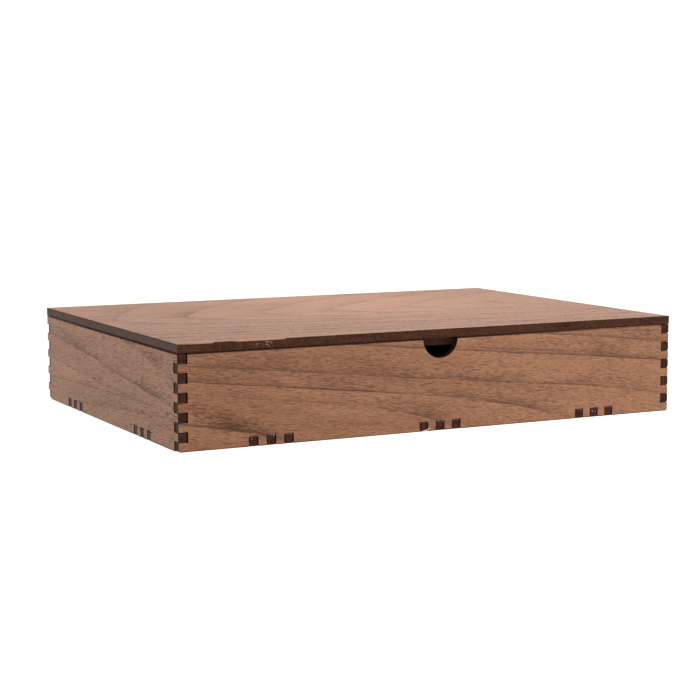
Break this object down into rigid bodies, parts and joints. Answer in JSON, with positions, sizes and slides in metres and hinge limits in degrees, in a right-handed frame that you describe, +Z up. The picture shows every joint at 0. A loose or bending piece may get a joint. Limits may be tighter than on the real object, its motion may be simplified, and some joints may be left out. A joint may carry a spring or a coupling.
{
  "type": "lift-off lid box",
  "caption": "Shallow rectangular box for papers with finger-jointed veneered walls, a tabbed base, a thumb notch and a flat lift-off lid.",
  "frame": {"origin": "centre of the footprint, on the surface that the box stands on", "axes": "+X along the front, to the right as seen from the front; +Y from the front wall with the thumb notch to the back; +Z up"},
  "size_m": [0.333, 0.234, 0.0604],
  "materials": {
    "walnut_veneer": "unfilled walnut veneer, lightly oiled, matt",
    "mdf_core": "fine fibreboard core, cut edges scorched dark brown by the laser"
  },
  "bodies": {
    "box": {"front_wall_core": "mdf_core", "front_wall_outer_veneer": "walnut_veneer", "front_wall_inner_veneer": "walnut_veneer", "back_wall_core": "mdf_core", "back_wall_outer_veneer": "walnut_veneer", "back_wall_inner_veneer": "walnut_veneer", "left_wall_core": "mdf_core", "left_wall_outer_veneer": "walnut_veneer", "left_wall_inner_veneer": "walnut_veneer", "right_wall_core": "mdf_core", "right_wall_outer_veneer": "walnut_veneer", "right_wall_inner_veneer": "walnut_veneer", "base_core": "mdf_core", "base_lower_veneer": "walnut_veneer", "base_upper_veneer": "walnut_veneer"},
    "lid": {"lid_core": "mdf_core", "lid_lower_veneer": "walnut_veneer", "lid_upper_veneer": "walnut_veneer", "locating_board_core": "mdf_core", "locating_board_lower_veneer": "walnut_veneer", "locating_board_upper_veneer": "walnut_veneer"}
  },
  "joints": [
    {"name": "lid_lift", "type": "slide", "parent": "box", "child": "lid", "axis": [0, 0, 1], "range_m": [0, 0.1]}
  ]
}
